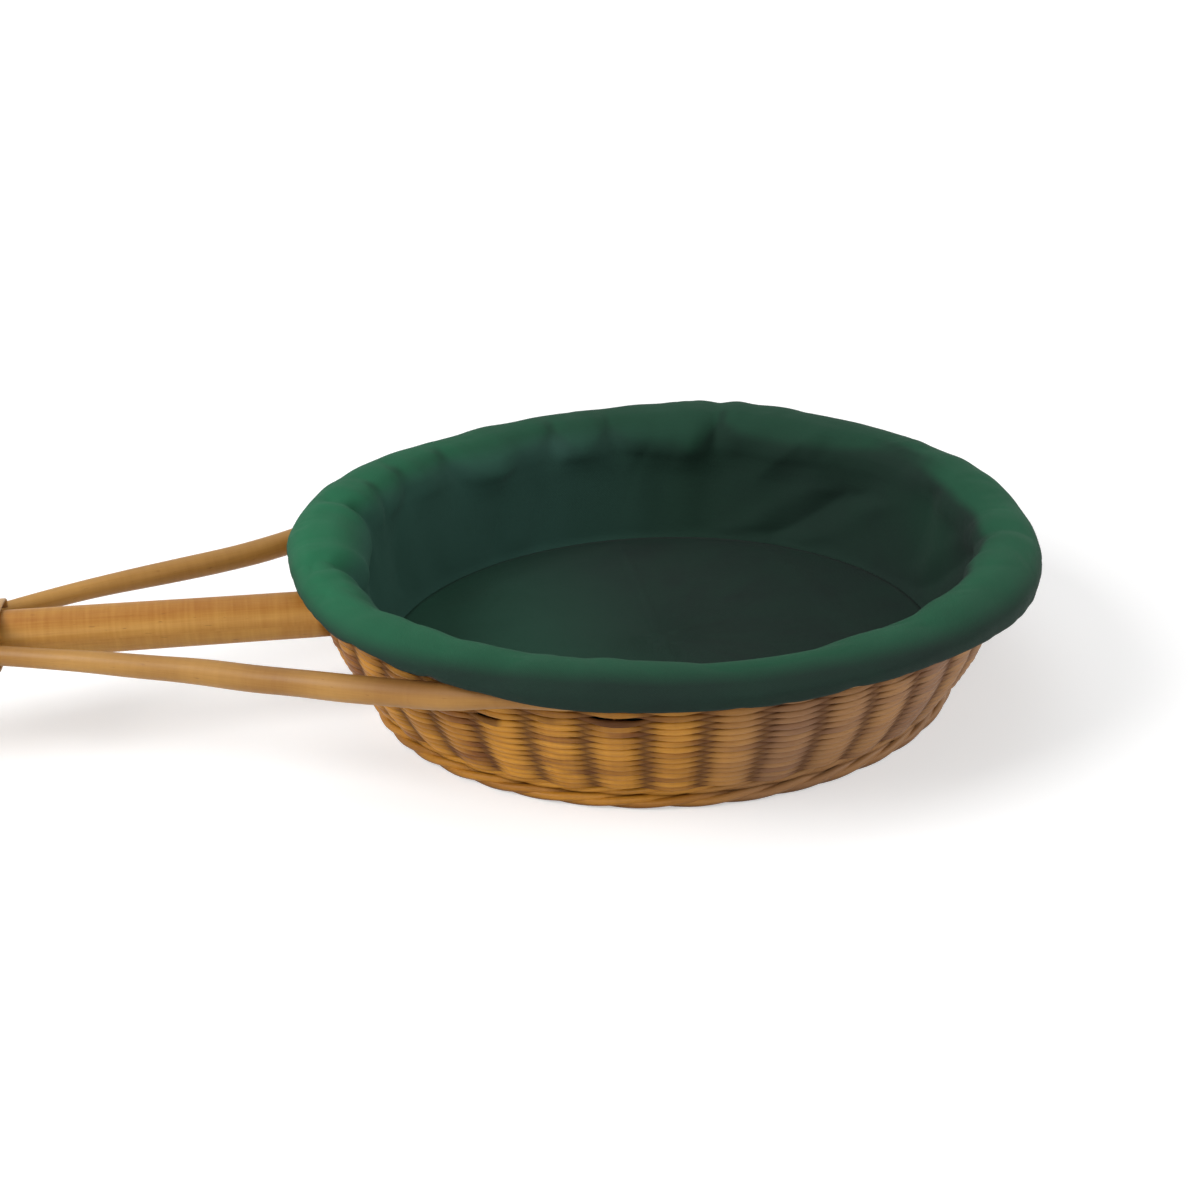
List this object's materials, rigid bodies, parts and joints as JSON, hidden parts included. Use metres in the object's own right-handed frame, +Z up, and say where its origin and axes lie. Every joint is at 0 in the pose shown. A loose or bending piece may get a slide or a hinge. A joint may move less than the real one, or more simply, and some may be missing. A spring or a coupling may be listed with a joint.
{
  "type": "long-handled collection basket",
  "caption": "Oval wicker collection basket with a cloth liner turned over its rim, a long rattan pole handle and side rods that run round the rim and are bound to the pole with cane.",
  "frame": {"origin": "middle of the basket's flat underside", "axes": "+Z up; X along the basket's long axis and the handle, which points towards -X; Y across"},
  "size_m": [0.9337, 0.3024, 0.0769],
  "materials": {
    "rattan_pole": "smooth varnished rattan",
    "rattan_rod": "smooth varnished rattan",
    "wicker": "woven rattan, varnished",
    "cane": "smooth split cane",
    "nail_steel": "dull",
    "green_cloth": "matt cloth",
    "elastic": "matt woven elastic"
  },
  "bodies": {
    "basket": {"base_stick_long_1": "rattan_rod", "base_stick_long_2": "rattan_rod", "base_stick_long_3": "rattan_rod", "base_stick_short_1": "rattan_rod", "base_stick_short_2": "rattan_rod", "base_stick_short_3": "rattan_rod", "base_stick_short_4": "rattan_rod", "base_stick_short_5": "rattan_rod", "base_weave": "wicker", "far_rod": "rattan_rod", "foot_border": "wicker", "fork_binding": "cane", "inner_hoop": "rattan_rod", "near_rod": "rattan_rod", "pole": "rattan_pole", "pole_nail_1": "nail_steel", "pole_nail_2": "nail_steel", "rim_border": "wicker", "rim_nail_1": "nail_steel", "rim_nail_2": "nail_steel", "rim_nail_3": "nail_steel", "rim_nail_4": "nail_steel", "rim_nail_5": "nail_steel", "rim_nail_6": "nail_steel", "wall_stake_01": "rattan_rod", "wall_stake_02": "rattan_rod", "wall_stake_03": "rattan_rod", "wall_stake_04": "rattan_rod", "wall_stake_05": "rattan_rod", "wall_stake_06": "rattan_rod", "wall_stake_07": "rattan_rod", "wall_stake_08": "rattan_rod", "wall_stake_09": "rattan_rod", "wall_stake_10": "rattan_rod", "wall_stake_11": "rattan_rod", "wall_stake_12": "rattan_rod", "wall_stake_13": "rattan_rod", "wall_stake_14": "rattan_rod", "wall_stake_15": "rattan_rod", "wall_stake_16": "rattan_rod", "wall_stake_17": "rattan_rod", "wall_stake_18": "rattan_rod", "wall_stake_19": "rattan_rod", "wall_stake_20": "rattan_rod", "wall_weave": "wicker"},
    "liner": {"liner_elastic": "elastic", "liner_floor": "green_cloth", "liner_skirt": "green_cloth"}
  },
  "joints": [
    {"name": "liner_lift", "type": "slide", "parent": "basket", "child": "liner", "axis": [0, 0, 1], "range_m": [0, 0.09]}
  ]
}
